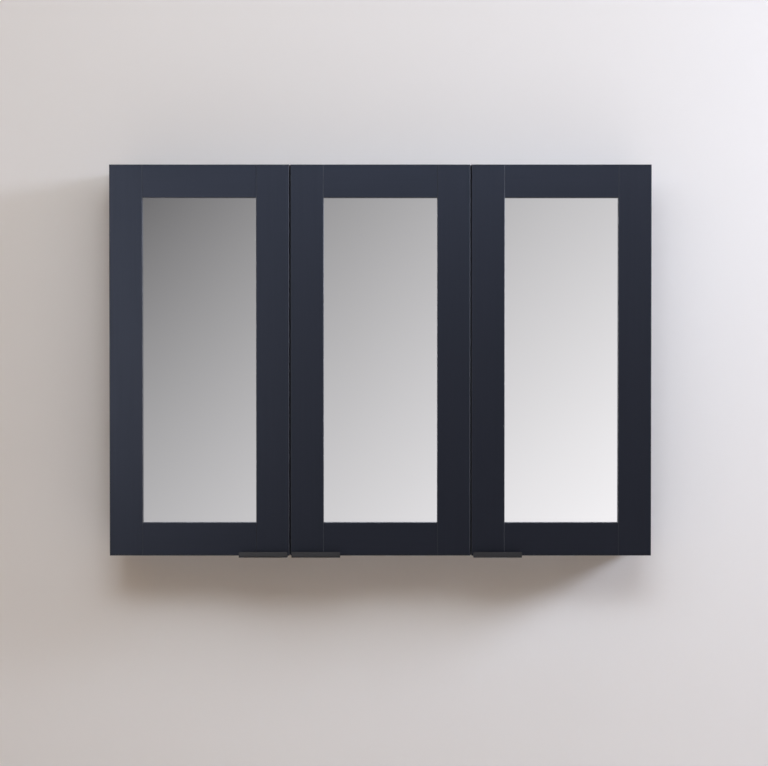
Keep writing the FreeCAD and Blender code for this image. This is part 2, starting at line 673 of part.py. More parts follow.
def pull(door, edge, inward):
    """A folded metal lip under the door's bottom edge."""
    label = f"pull_{door}"
    sheet_metal, reach = "size.pull_plate", "(size.door_thickness + size.pull_reach)"
    rear, top = "-size.pull_back_set", f"size.pull_lip - {sheet_metal}"
    body = new_body(label)
    section = [(rear, "0"), (rear, f"-{sheet_metal}"), (f"-{reach}", f"-{sheet_metal}"),
               (f"-{reach}", top), (f"{sheet_metal} - {reach}", top), (f"{sheet_metal} - {reach}", "0")]
    sketch = draw(sketch_on(body, label + "_section", "YZ_Plane", "-size.pull_length / 2"), section)
    pad(body, label + "_strip", sketch, "size.pull_length")
    ease(body, label + "_inner_bend", "size.pull_bend",
         lambda middle, way: near(middle.y, f"{sheet_metal} - {reach}") and near(middle.z, "0"))
    ease(body, label + "_outer_bend", f"size.pull_bend + {sheet_metal}",
         lambda middle, way: near(middle.y, f"-{reach}") and near(middle.z, f"-{sheet_metal}"))
    ease(body, label + "_lip_corners", "size.pull_corner",
         lambda middle, way: abs(way.y) > 0.9 and near(middle.z, top))
    screws = [(f"{side} * (size.pull_length / 2 - size.pull_screw_end)", "-size.door_thickness / 2")
              for side in (1, -1)]
    drill(body, label + "_screw_holes", "XY_Plane", "0", screws,
          "size.wood_screw_radius + size.screw_play", sheet_metal)
    countersink(body, label + "_countersinks", "size.wood_screw_head - size.wood_screw_radius", f"-{sheet_metal}")
    middle = f"{edge} + {inward} * (size.pull_inset + size.pull_length / 2)"
    node(move(body, (middle, "plan.door_back", "-plan.door_height / 2")), label)


# Hinge pivots across the hinge, as distance from the door's hinge edge and from the door's back
CUP_OUTER = ("size.outer_in", "-size.outer_deep")
CUP_INNER = ("size.inner_in", "-size.inner_deep")
ARM_OUTER = ("plan.outer_arm_in", "plan.outer_arm_deep")
ARM_INNER = ("plan.inner_arm_in", "plan.inner_arm_deep")
INNER_EYE = ("plan.inner_arm_in - size.eye_shift_in", "plan.inner_arm_deep - size.eye_shift_front")
ARM_SCREWS = ["plan.arm_screw_deep", "plan.adjust_screw_deep"]


def hinge_cup():
    """The cup with its well and its flange; the door's back is y = 0."""
    body = new_body("hinge_cup")
    disc = draw_circles(sketch_on(body, "cup_disc", "XZ_Plane"), [("plan.cup_in", "0")], "size.cup_radius")
    pad(body, "cup_bowl", disc, "size.cup_depth")
    half = "size.flange_length / 2"
    wings = rectangle("plan.cup_in - size.flange_lead", f"-{half}", "plan.cup_in + size.flange_trail", half)
    pad(body, "cup_flange", draw(sketch_on(body, "cup_flange_outline", "XZ_Plane"), wings),
        "size.flange_thick", True)
    ease(body, "cup_flange_corners", "size.flange_corner",
         lambda middle, way: abs(way.y) > 0.9 and near(abs(middle.z), half))
    face = "-size.flange_thick"
    well = rectangle("size.cup_tab + size.cup_wall", "-size.well_half",
                     "plan.cup_in + size.cup_radius - size.cup_wall", "size.well_half")
    pocket(body, "cup_well", draw(sketch_on(body, "cup_well_outline", "XZ_Plane", face), well),
           "size.flange_thick + size.cup_depth - size.cup_floor", True)
    screws = [("plan.cup_in + size.cup_screw_offset", f"{side} * size.cup_screw_pitch / 2") for side in (1, -1)]
    drill(body, "cup_screw_holes", "XZ_Plane", face, screws, "size.wood_screw_radius + size.screw_play",
          "size.flange_thick", True)
    drill(body, "cup_pin_holes", "XY_Plane", "-size.cup_pin_half", [CUP_OUTER, CUP_INNER],
          "size.cup_pin_radius + size.press_play", "2 * size.cup_pin_half", True)
    return body


def hinge_arm(name, foot):
    """The channel that carries the two link pins, standing on its plate at foot from the door's edge."""
    body = new_body(name)
    floor = f"({foot} + size.plate_thick)"
    front = "(plan.outer_arm_deep - size.arm_nose)"
    nose = "plan.side_in + size.arm_nose_foot"
    outer = "(plan.inner_arm_in + size.arm_nose)"
    crest = "plan.inner_arm_deep + size.arm_nose"
    rear, start = "plan.arm_rear", "plan.plate_deep - size.plate_front"
    tail_top = f"{floor} + size.arm_tail"
    cheek = [(floor, rear), (floor, start), (nose, front), (outer, front),
             (outer, crest), (tail_top, "plan.plate_deep"), (tail_top, rear)]
    half = "size.arm_half"
    pad(body, name + "_block", draw(sketch_on(body, name + "_cheek", "XY_Plane", f"-{half}"), cheek),
        f"2 * {half}")
    ease(body, name + "_corners", "size.arm_corner", lambda middle, way: abs(way.z) > 0.9)
    slot_half = "size.arm_slot_half"
    slot = rectangle(f"{floor} + size.arm_web", f"{front} - size.arm_nose", f"{outer} + size.arm_nose",
                     f"{rear} + size.arm_nose")
    pocket(body, name + "_channel",
           draw(sketch_on(body, name + "_channel_outline", "XY_Plane", f"-{slot_half}"), slot),
           f"2 * {slot_half}", True)
    drill(body, name + "_pin_holes", "XY_Plane", f"-{half}", [ARM_OUTER, ARM_INNER],
          "size.arm_pin_radius + size.press_play", f"2 * {half}", True)
    drill(body, name + "_screw_holes", "YZ_Plane", floor, [(deep, "0") for deep in ARM_SCREWS],
          "size.arm_screw_radius + size.screw_play", "size.arm_web", True)
    return body


def hinge_plate():
    """The winged plate on the board, drawn with the board's face at x = 0."""
    body = new_body("hinge_plate")
    screws, wing, span = "plan.plate_deep", "size.plate_wing / 2", "size.plate_wing_span / 2"
    half = "size.plate_half"
    front, rear = f"{screws} - size.plate_front", f"{screws} + size.plate_rear"
    lead, trail = f"{screws} - {wing}", f"{screws} + {wing}"
    cross = [(front, f"-{half}"), (lead, f"-{half}"), (lead, f"-{span}"), (trail, f"-{span}"),
             (trail, f"-{half}"), (rear, f"-{half}"), (rear, half), (trail, half),
             (trail, span), (lead, span), (lead, half), (front, half)]
    pad(body, "plate_blank", draw(sketch_on(body, "plate_outline", "YZ_Plane"), cross), "size.plate_thick")
    ease(body, "plate_corners", "size.arm_corner", lambda middle, way: abs(way.x) > 0.9)
    rise = "plan.plate_screw_rise"
    drill(body, "plate_screw_holes", "YZ_Plane", "0", [(screws, rise), (screws, f"-{rise}")],
          "size.plate_screw_radius + size.screw_play", "size.plate_thick", True)
    drill(body, "plate_arm_holes", "YZ_Plane", "0", [(deep, "0") for deep in ARM_SCREWS],
          "size.arm_screw_radius + size.screw_play", "size.plate_thick", True)
    return body


def link_plate(name, line, low, thickness, eyes):
    """A flat bent link along a centre line, with eyes as place, outer radius and hole radius."""
    centre = draw(doc.addObject("Sketcher::SketchObject", name + "_line"), line, closed=False)
    outline = doc.addObject("Part::Offset2D", name + "_outline")
    outline.Source = centre
    outline.Mode = "Pipe"
    outline.Join = "Arc"
    bind(outline, {"Value": "size.link_half"})
    strap = doc.addObject("Part::Extrusion", name + "_strap")
    strap.Base = outline
    strap.DirMode = "Custom"
    strap.Dir = UP
    strap.Solid = True
    bind(strap, {"LengthFwd": thickness})
    rounds, holes = [strap], []
    for index, (place, eye, hole) in enumerate(eyes):
        for kind, radius, kept in (("eye", eye, rounds), ("hole", hole, holes)):
            cylinder = doc.addObject("Part::Cylinder", f"{name}_{kind}_{index}")
            bind(cylinder, {"Radius": radius, "Height": thickness})
            kept.append(move(cylinder, (*place, "0")))
    blank = doc.addObject("Part::MultiFuse", name + "_blank")
    blank.Shapes = rounds
    bores = doc.addObject("Part::Compound", name + "_bores")
    bores.Links = holes
    link = doc.addObject("Part::Cut", name)
    link.Base, link.Tool = blank, bores
    link.Refine = True
    return move(link, ("0", "0", low))


def outer_link():
    """The hooked plate that runs under the door's edge when the door is closed."""
    line = [
        CUP_OUTER,
        ("size.outer_in + size.outer_heel", "-size.outer_low"),
        ("size.outer_in + size.outer_toe", "-size.outer_low"),
        ("plan.side_in + size.outer_neck_out", "-size.outer_neck_deep"),
        ARM_OUTER,
    ]
    eyes = [(CUP_OUTER, "size.cup_eye", "size.cup_pin_radius + size.turning_play"),
            (ARM_OUTER, "size.arm_eye", "size.arm_pin_radius + size.turning_play")]
    return link_plate("outer_link", line, "0", "size.outer_plate", eyes)


def inner_link():
    """The swan-necked middle link; its eye has slack round the arm pin."""
    line = [
        CUP_INNER,
        ("size.inner_in + size.inner_heel", "-size.inner_low"),
        ("size.inner_in + size.inner_toe", "-size.inner_low"),
        ("plan.side_in + size.inner_clear", "-size.inner_neck"),
        ("plan.side_in + size.inner_clear", "size.inner_shoulder"),
        ("plan.side_in + size.inner_crook_out", "size.door_clearance + size.inner_crook_set"),
        INNER_EYE,
    ]
    slack = "size.arm_pin_radius + size.eye_play"
    eyes = [(CUP_INNER, "size.cup_eye", "size.cup_pin_radius + size.turning_play"),
            (INNER_EYE, f"{slack} + size.eye_wall", slack)]
    return link_plate("inner_link", line, "-size.inner_half", "2 * size.inner_half", eyes)


def straight_pin(name, radius, low, high):
    return turned(name, [("0", high), (radius, high), (radius, low), ("0", low)])


def make_hinge_masters():
    """One of each hinge piece; the doors take copies of them."""
    pin, half = "size.cup_pin_radius", "size.cup_pin_half"
    arm_half = "size.arm_pin_half"
    stub_start = "(size.outer_layer - size.turning_play)"
    return {
        "cup": hinge_cup(),
        "side_arm": hinge_arm("hinge_arm_side", "plan.side_in"),
        "divider_arm": hinge_arm("hinge_arm_divider", "plan.divider_in"),
        "plate": hinge_plate(),
        "outer_link": outer_link(),
        "inner_link": inner_link(),
        "cup_pin": straight_pin("cup_pin", pin, f"-{half}", half),
        "cup_stub": straight_pin("cup_stub", pin, stub_start, half),
        "arm_pin": straight_pin("arm_pin", "size.arm_pin_radius", f"-{arm_half}", arm_half),
        "plate_screw": screw("plate_screw"),
        "arm_screw": screw("arm_screw"),
        "wood_screw": screw("wood_screw"),
        "pull_screw": sunk_screw("pull_screw", "wood_screw"),
    }


CARCASS_HINGES = {"hinge_plates": [], "hinge_arms": [], "hinge_arm_pins": [], "hinge_screws": []}


def hinge(door, end, height, edge, inward, masters):
    """Place one hinge; returns what the door, the outer links and the inner links carry."""
    turn = None if inward > 0 else TURNED
    out = AIM["right"] if inward > 0 else AIM["left"]
    on_divider = door == "middle"
    foot = "plan.divider_in" if on_divider else "plan.side_in"
    tag = f"{door}_{end}"

    def spot(place=("0", "0"), rise="0"):
        x, y = place
        return f"{edge} + {inward} * ({x})", f"plan.door_back + {y}", f"{height} + {rise}"

    def copy(kind, at, way=turn):
        return instance(masters[kind], f"{kind}_{tag}_1", at, way)

    plate_face = f"{foot} + size.plate_thick"
    CARCASS_HINGES["hinge_plates"].append(copy("plate", spot((foot, "0"))))
    CARCASS_HINGES["hinge_arms"].append(copy("divider_arm" if on_divider else "side_arm", spot()))
    CARCASS_HINGES["hinge_arm_pins"] += [copy("arm_pin", spot(place)) for place in (ARM_OUTER, ARM_INNER)]
    for side in (1, -1):
        at = spot((plate_face, "plan.plate_deep"), f"{side} * plan.plate_screw_rise")
        CARCASS_HINGES["hinge_screws"].append(copy("plate_screw", at, out))
    for deep in ARM_SCREWS:
        at = spot((f"{plate_face} + size.arm_web", deep))
        CARCASS_HINGES["hinge_screws"].append(copy("arm_screw", at, out))

    stubs = [copy("cup_stub", spot(CUP_OUTER)), copy("cup_stub", spot(CUP_OUTER), Rotation(V(1, 0, 0), 180))]
    pins = stubs + [copy("cup_pin", spot(CUP_INNER))]
    screws = []
    for side in (1, -1):
        at = spot(("plan.cup_in + size.cup_screw_offset", "size.flange_thick"),
                  f"{side} * size.cup_screw_pitch / 2")
        screws.append(copy("wood_screw", at, AIM["wall"]))
    outer = []
    for layer, low in LAYERS:
        plate_low = f"{height} + {low} + {'0' if inward > 0 else 'size.outer_plate'}"
        outer.append(instance(masters["outer_link"], f"outer_link_{tag}_{layer}",
                              (edge, "plan.door_back", plate_low), turn))
    inner_low = f"{height} - {inward} * size.inner_half"
    inner = [instance(masters["inner_link"], f"inner_link_{tag}", (edge, "plan.door_back", inner_low), turn)]
    return {"cups": [copy("cup", spot())], "pins": pins, "screws": screws, "outer": outer, "inner": inner}


def make_doors():
    masters = make_hinge_masters()
    for index, (door, side) in enumerate(DOORS):
        left = f"({index} * (plan.door_width + size.door_gap) - plan.doors_half)"
        right = f"({left} + plan.door_width)"
        middle = f"({left} + plan.door_width / 2)"
        hinge_edge, pull_edge = (left, right) if side == "left" else (right, left)
        inward = 1 if side == "left" else -1
        hinge_turn, pull_turn = (None, TURNED) if side == "left" else (TURNED, None)
        stile(f"stile_hinge_{door}", hinge_edge, hinge_turn, True)
        stile(f"stile_pull_{door}", pull_edge, pull_turn, False)
        rail(f"rail_top_{door}", middle, 1, TURNED, 0)
        rail(f"rail_bottom_{door}", middle, -1, None, inward)
        glazing(door, middle)
        pull(door, pull_edge, -inward)

        carried = {"cups": [], "pins": [], "screws": [], "outer": [], "inner": []}
        for end, height in HINGE_ENDS:
            for kind, members in hinge(door, end, height, hinge_edge, inward, masters).items():
                carried[kind] += members
        for from_end in ("size.pull_screw_end", "size.pull_length - size.pull_screw_end"):
            at = (f"{pull_edge} - {inward} * (size.pull_inset + {from_end})",
                  "plan.door_back - size.door_thickness / 2", "-plan.door_height / 2 - size.pull_plate")
            carried["screws"].append(instance(masters["pull_screw"], f"pull_screw_{door}_1", at, AIM["down"]))
        group(f"hinge_cups_{door}", carried["cups"])
        group(f"hinge_cup_pins_{door}", carried["pins"])
        group(f"door_screws_{door}", carried["screws"])
        group(f"outer_links_{door}", carried["outer"])
        group(f"inner_links_{door}", carried["inner"])
    for label, members in CARCASS_HINGES.items():
        group(label, members)


def door_bumpers():
    """Soft domes on the front edges, near the pull end of each door."""
    radius, rise = "size.bumper_radius", "size.bumper_height"
    dome = turned("bumper", [("0", rise), (f"{radius} * 0.6", rise), (radius, f"{rise} * 0.4"),
                             (radius, "0"), ("0", "0")])
    bumpers = []
    for index, (door, side) in enumerate(DOORS):
        left = f"({index} * (plan.door_width + size.door_gap) - plan.doors_half)"
        inset = "size.bumper_inset" if side == "right" else "(plan.door_width - size.bumper_inset)"
        for end in (1, -1):
            at = (f"{left} + {inset}", "plan.carcass_front", f"{end} * (plan.half_height - {BOARD_MIDDLE})")
            bumpers.append(instance(dome, f"bumper_{door}_1", at, AIM["front"]))
    group("door_bumpers", bumpers)


side_panel("side_panel_left", "-plan.half_width", "size.board", False)
side_panel("side_panel_right", "plan.inner_half_width", "0", True)
level_panel("top_panel", "plan.inner_half_height", "0", True)
level_panel("bottom_panel", "-plan.half_height", "size.board", False)
divider_panel()
back_panel()
hanging_rail("hanging_rail_top", 1)
hanging_rail("hanging_rail_bottom", -1)
carcass_dowels()
shelves_and_pins()
make_doors()
door_bumpers()
doc.recompute()

for item in doc.Objects:
    if {"Invalid", "Error"} & set(item.State):
        raise RuntimeError(f"{item.Name} failed: {item.State}")
for item in NODES:
    if item.Shape.isNull() or not item.Shape.isValid() or not item.Shape.Solids:
        raise RuntimeError(f"{item.Label} has no valid solid")

os.makedirs("parts", exist_ok=True)
for item in NODES:
    item.Shape.exportStep(f"parts/{item.Label}.step")
print(len(NODES), "pieces written")
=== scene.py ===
"""Looks for a wall-hung mirror cabinet with three framed doors, set around its CAD frame."""

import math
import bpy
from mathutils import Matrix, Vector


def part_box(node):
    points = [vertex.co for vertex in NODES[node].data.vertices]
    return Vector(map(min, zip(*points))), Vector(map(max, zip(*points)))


bl_info = {
    "name": "Mirror Cabinet Looks",
    "version": (1, 0, 0),
    "blender": (4, 5, 0),
    "location": "View3D > Sidebar > Mirror Cabinet",
    "description": "Finishes and stage for a wall-hung cabinet with framed mirror doors",
    "category": "Object",
}

import bpy
from bpy.props import FloatProperty, FloatVectorProperty, PointerProperty
from mathutils import Vector

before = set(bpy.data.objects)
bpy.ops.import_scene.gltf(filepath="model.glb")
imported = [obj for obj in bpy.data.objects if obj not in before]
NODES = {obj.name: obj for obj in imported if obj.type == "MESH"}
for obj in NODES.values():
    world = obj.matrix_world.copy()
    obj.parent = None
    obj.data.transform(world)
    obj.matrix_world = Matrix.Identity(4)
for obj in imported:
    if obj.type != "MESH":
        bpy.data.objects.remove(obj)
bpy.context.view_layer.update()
DOORS = ("left", "middle", "right")
UPRIGHT, LEVEL = (0.0, 0.0, 1.0), (1.0, 0.0, 0.0)
TO_FRONT = (0.0, -1.0, 0.0)
WHITE = (1.0, 1.0, 1.0)

# The photograph's frame, in pixels, and how the door faces sit in it
PHOTO_WIDTH, PHOTO_HEIGHT = 768, 766
DOORS_WIDTH = 542.0
DOORS_CENTRE = (380.4, 360.3)
SENSOR = 36.0

# Noise values over which a surface varies from one end of a range to the other
NOISE_LOW, NOISE_HIGH = 0.3, 0.7
# Scale of the wood grain along and across it, for its streaks and its broader bands
STREAK_ALONG, STREAK_ACROSS = 5.0, 260.0
BAND_ALONG, BAND_ACROSS = 2.0, 23.4
STREAK_SHARE, BAND_SHARE = 0.6, 0.4
# Share of a board's own colour that its pores keep, and its roughness past that of the frames
CARCASS_PORE, CARCASS_DULLNESS = 0.8, 0.05
# How far a rounded edge faces the front where its shine starts, is full, fades and ends
EDGE_START, EDGE_FULL, EDGE_FADE, EDGE_END = 0.998, 0.985, 0.8, 0.6
# A glass shelf's surface that faces up or down less than this is its ground edge
GROUND_BELOW = 0.5
LACQUER_IOR, GLASS_IOR, SOFT_IOR = 1.5, 1.52, 1.45

# Half the width of the wall and floor, and how the wall stands behind the cabinet
STAGE_HALF = 3.2
WALL_GAP, WALL_LAP = 0.0006, 0.001
# The room that the mirrors look at: brightness straight ahead, and its rise to the right and upwards
ROOM_AHEAD, ROOM_RISE_X, ROOM_RISE_Z = 0.56, 1.76, -1.82
ROOM_DARKEST, ROOM_BRIGHTEST = 0.1, 0.95
ROOM_TINT = (1.0, 0.995, 1.0)
# The even room round that, and how far a reflection faces the front where the two meet
ROOM_AROUND = 0.34
ROOM_EDGE, ROOM_INSIDE = 0.90, 0.975
# The floor's even tone and its share, the warm fill, and the plain background
FLOOR_SEEN, FLOOR_EVEN = 0.62, 0.8
AMBIENT = (0.354, 0.256, 0.158)
BACKGROUND = 0.82

# Soft lights as name, place, size, power and colour; each looks at the cabinet
LAMPS = [
    ("right_window", (2.4, -1.0, 0.8), (0.6, 0.6), 53.0, (0.73, 0.82, 1.0)),
    ("front_softbox", (0.0, -3.0, 1.4), (1.2, 0.8), 26.0, (0.88, 0.94, 1.0)),
    ("near_softbox", (0.0, -1.6, 0.8), (1.6, 0.5), 9.2, (0.74, 0.85, 1.0)),
    ("rear_softbox", (-1.4, 2.2, 0.9), (1.2, 1.2), 45.0, WHITE),
]
# Cards that only shine in the lacquer, outside what the mirrors show
CARDS = [
    ("left_card", (-0.98, -1.9, 0.1), (0.5, 0.9), 19.0, WHITE),
    ("right_card", (0.75, -2.2, 1.1), (0.9, 0.5), 7.0, WHITE),
    ("side_card", (1.9, -1.2, 0.1), (0.45, 0.4), 40.0, WHITE),
]


def colour_property(name, description, default):
    return FloatVectorProperty(name=name, description=description, subtype="COLOR", size=3,
                               min=0.0, max=1.0, default=default)


def share_property(name, description, default, least=0.0):
    return FloatProperty(name=name, description=description, subtype="FACTOR",
                         min=least, max=1.0, default=default)


class MirrorCabinetFinishes(bpy.types.PropertyGroup):
    """Colours and sheens of the cabinet's own surfaces."""

    lacquer: colour_property("Lacquer", "Blue-black lacquer of the door frames", (0.0058, 0.0050, 0.0074))
    lacquer_pore: colour_property("Lacquer pores", "Lacquer where the wood grain sinks",
                                  (0.0036, 0.0031, 0.0046))
    lacquer_roughness: share_property("Lacquer roughness", "How satin the lacquer is", 0.42, 0.05)
    lacquer_sheen: share_property("Lacquer sheen", "How strongly the lacquer shines", 0.23)
    lacquer_tint: colour_property("Sheen tint", "Colour of the lacquer's shine", (0.64, 0.74, 1.0))
    edge_polish: share_property("Edge polish", "Extra shine on the rounded edges", 0.5)
    edge_roughness: share_property("Edge roughness", "How satin the shine on the edges is", 0.55, 0.05)
    carcass: colour_property("Carcass", "Lacquer of the cabinet's own boards", (0.013, 0.014, 0.019))
    board: colour_property("Back boards", "Dark board behind the mirrors and at the back",
                           (0.020, 0.021, 0.025))
    silver: colour_property("Mirror", "Tint of the silvered glass", (0.955, 0.945, 0.96))
    shelf: colour_property("Shelf glass", "Tint of the clear shelf glass", (0.86, 0.95, 0.92))
    shelf_edge: colour_property("Shelf edge", "Tint of the ground edges of the glass", (0.5, 0.7, 0.64))
    nickel: colour_property("Nickel", "Plated steel of the hinges, pins and screws", (0.62, 0.60, 0.57))
    anodised: colour_property("Anodised pull", "Black anodised metal of the pulls", (0.012, 0.0115, 0.0135))
    soft: colour_property("Bumpers", "Clear soft plastic of the door bumpers", (0.62, 0.62, 0.60))
    beech: colour_property("Dowels", "Beech of the joint dowels", (0.55, 0.36, 0.20))


class MirrorCabinetStage(bpy.types.PropertyGroup):
    """The wall, floor, light and camera round the cabinet."""

    wall: colour_property("Wall", "Paint of the wall behind", (0.74, 0.72, 0.71))
    floor: colour_property("Floor", "Plain pale floor", (0.78, 0.77, 0.76))
    floor_drop: FloatProperty(name="Floor drop", description="From the cabinet's middle down to the floor",
                              default=1.35, min=0.8, unit="LENGTH")
    distance: FloatProperty(name="Camera distance", description="From the door faces to the camera",
                            default=3.0, min=1.0, unit="LENGTH")
    pitch: FloatProperty(name="Camera pitch", description="How far the camera looks down",
                         default=math.radians(0.77), subtype="ANGLE")


def finishes():
    return bpy.context.scene.mirror_cabinet_finishes


def stage_settings():
    return bpy.context.scene.mirror_cabinet_stage


class NodeSheet:
    """A material or world node tree with short ways to add and join its nodes."""

    def __init__(self, tree):
        self.tree = tree
        tree.nodes.clear()

    def add(self, kind, inputs=None, **settings):
        node = self.tree.nodes.new(kind)
        for name, value in settings.items():
            setattr(node, name, value)
        for name, value in (inputs or {}).items():
            self.feed(node.inputs[name], value)
        return node

    def feed(self, socket, value):
        if isinstance(value, bpy.types.NodeSocket):
            self.tree.links.new(value, socket)
        else:
            socket.default_value = value

    def math(self, operation, first, second=0.0):
        return self.add("ShaderNodeMath", {0: first, 1: second}, operation=operation).outputs[0]

    def dot(self, first, second):
        node = self.add("ShaderNodeVectorMath", {0: first, 1: second}, operation="DOT_PRODUCT")
        return node.outputs["Value"]

    def noise(self, scale, detail, roughness=0.55):
        """Noise over object coordinates in metres, scaled by one number or by one for each axis."""
        scales = scale if isinstance(scale, tuple) else (scale, scale, scale)
        place = self.add("ShaderNodeTexCoord").outputs["Object"]
        scaled = self.add("ShaderNodeMapping", {"Vector": place, "Scale": scales}).outputs["Vector"]
        node = self.add("ShaderNodeTexNoise", {"Vector": scaled, "Scale": 1.0, "Detail": detail,
                                               "Roughness": roughness})
        return node.outputs["Fac"]

    def ramp(self, value, start, end, low=0.0, high=1.0, **settings):
        """A number that goes from low to high while a value goes from start to end."""
        node = self.add("ShaderNodeMapRange", {"Value": value, "From Min": start, "From Max": end,
                                               "To Min": low, "To Max": high}, **settings)
        return node.outputs["Result"]

    def between(self, noise, low, high):
        """A number spread from low to high by a noise."""
        return self.ramp(noise, NOISE_LOW, NOISE_HIGH, low, high)

    def mix(self, kind, factor, first, second):
        node = self.add("ShaderNodeMix", {"Factor": factor, "A": first, "B": second}, data_type=kind)
        return node.outputs["Result"]

    def blend(self, factor, first, second):
        """A colour between two colours."""
        return self.mix("RGBA", factor, first, second)

    def mixed(self, factor, first, second):
        """A number between two numbers."""
        return self.mix("FLOAT", factor, first, second)

    def mixed_shader(self, factor, first, second):
        """A shader between two shaders."""
        return self.add("ShaderNodeMixShader", {0: factor, 1: first, 2: second}).outputs[0]

    def facing(self, way):
        """How far the surface faces a direction, from -1 to 1."""
        return self.dot(self.add("ShaderNodeTexCoord").outputs["Normal"], way)

    def front_edges(self):
        """1 on the rounded front edges of a board, which turn away from the front, and 0 elsewhere."""
        facing = self.facing(TO_FRONT)
        turned = self.ramp(facing, EDGE_START, EDGE_FULL)
        kept = self.ramp(facing, EDGE_END, EDGE_FADE)
        return self.math("MULTIPLY", turned, kept)

    def bump(self, height, depth, strength):
        node = self.add("ShaderNodeBump", {"Height": height, "Distance": depth, "Strength": strength})
        return node.outputs["Normal"]


def rgba(colour, share=1.0):
    return (colour[0] * share, colour[1] * share, colour[2] * share, 1.0)


def new_material(name, make):
    """A material whose surface is the shader that make(sheet) gives."""
    material = bpy.data.materials.new(name)
    material.use_nodes = True
    sheet = NodeSheet(material.node_tree)
    sheet.add("ShaderNodeOutputMaterial", {"Surface": make(sheet)})
    return material


def new_surface(name, make):
    """A material with one principled shader, which make(sheet) gives the inputs for."""

    def principled(sheet):
        return sheet.add("ShaderNodeBsdfPrincipled", make(sheet)).outputs["BSDF"]

    return new_material(name, principled)


def coat(material, *names):
    """Give CAD nodes a material in place of the one they came with."""
    for name in names:
        slots = NODES[name].material_slots
        if not slots:
            NODES[name].data.materials.append(material)
        for slot in slots:
            slot.material = material


def grained_lacquer(name, grain, base, pore, roughness):
    """Satin lacquer over wood whose grain runs along one axis and shows faintly through it."""
    fine = tuple(STREAK_ALONG if part else STREAK_ACROSS for part in grain)
    broad = tuple(BAND_ALONG if part else BAND_ACROSS for part in grain)

    def make(sheet):
        streaks = sheet.noise(fine, detail=5.0, roughness=0.6)
        bands = sheet.noise(broad, detail=3.0)
        tone = sheet.math("ADD", sheet.math("MULTIPLY", streaks, STREAK_SHARE),
                          sheet.math("MULTIPLY", bands, BAND_SHARE))
        return {
            "Base Color": sheet.blend(sheet.between(tone, 0.0, 1.0), rgba(pore), rgba(base)),
            "Roughness": sheet.between(streaks, roughness + 0.05, roughness - 0.03),
            "Normal": sheet.bump(streaks, depth=0.00012, strength=0.35),
            "IOR": LACQUER_IOR,
            "Specular IOR Level": finishes().lacquer_sheen,
            "Specular Tint": rgba(finishes().lacquer_tint),
            "Coat Weight": sheet.math("MULTIPLY", sheet.front_edges(), finishes().edge_polish),
            "Coat Roughness": finishes().edge_roughness,
        }

    return new_surface(name, make)


class MIRRORCABINET_OT_door_frames(bpy.types.Operator):
    """Lacquer the stiles, rails and glazing beads, each with its own run of grain."""

    bl_idname = "mirror_cabinet.door_frames"
    bl_label = "Door frames"

    def execute(self, context):
        look = finishes()
        tones = (look.lacquer, look.lacquer_pore, look.lacquer_roughness)
        upright = grained_lacquer("stile_lacquer", UPRIGHT, *tones)
        level = grained_lacquer("rail_lacquer", LEVEL, *tones)
        for door in DOORS:
            coat(upright, f"stile_hinge_{door}", f"stile_pull_{door}", f"glazing_beads_{door}")
            coat(level, f"rail_top_{door}", f"rail_bottom_{door}")
        return {"FINISHED"}


class MIRRORCABINET_OT_mirrors(bpy.types.Operator):
    """Silver the mirror panes and darken the boards behind them."""

    bl_idname = "mirror_cabinet.mirrors"
    bl_label = "Mirrors"

    def execute(self, context):
        look = finishes()

        def silver(sheet):
            haze = sheet.noise(6.0, detail=2.0)
            return {
                "Base Color": sheet.blend(haze, rgba(look.silver, 0.985), rgba(look.silver)),
                "Metallic": 1.0,
                "Roughness": sheet.between(haze, 0.012, 0.022),
            }

        mirror = new_surface("mirror_silver", silver)
        board = fibre_board("backing_board", look.board)
        for door in DOORS:
            coat(mirror, f"mirror_{door}")
            coat(board, f"backing_{door}")
        return {"FINISHED"}


def fibre_board(name, base):
    """Matt dark board with a fine felted surface."""

    def make(sheet):
        felt = sheet.noise(900.0, detail=3.0, roughness=0.7)
        cloud = sheet.noise(14.0, detail=3.0)
        return {
            "Base Color": sheet.blend(cloud, rgba(base, 0.8), rgba(base, 1.2)),
            "Roughness": sheet.between(felt, 0.62, 0.75),
            "Normal": sheet.bump(felt, depth=0.0001, strength=0.4),
        }

    return new_surface(name, make)


class MIRRORCABINET_OT_carcass(bpy.types.Operator):
    """Lacquer the cabinet's boards and hanging rails, and finish the back panel and dowels."""

    bl_idname = "mirror_cabinet.carcass"
    bl_label = "Carcass"

    def execute(self, context):
        look = finishes()
        tones = (look.carcass, rgba(look.carcass, CARCASS_PORE), look.lacquer_roughness + CARCASS_DULLNESS)
        upright = grained_lacquer("upright_board_lacquer", UPRIGHT, *tones)
        level = grained_lacquer("level_board_lacquer", LEVEL, *tones)
        coat(upright, "side_panel_left", "side_panel_right", "divider_panel")
        coat(level, "top_panel", "bottom_panel", "hanging_rail_top", "hanging_rail_bottom")
        coat(fibre_board("back_panel_board", look.board), "back_panel")

        def beech(sheet):
            grain = sheet.noise((60.0, 500.0, 500.0), detail=4.0)
            return {
                "Base Color": sheet.blend(grain, rgba(look.beech, 0.7), rgba(look.beech)),
                "Roughness": sheet.between(grain, 0.55, 0.7),
            }

        coat(new_surface("dowel_beech", beech), "carcass_dowels")
        return {"FINISHED"}


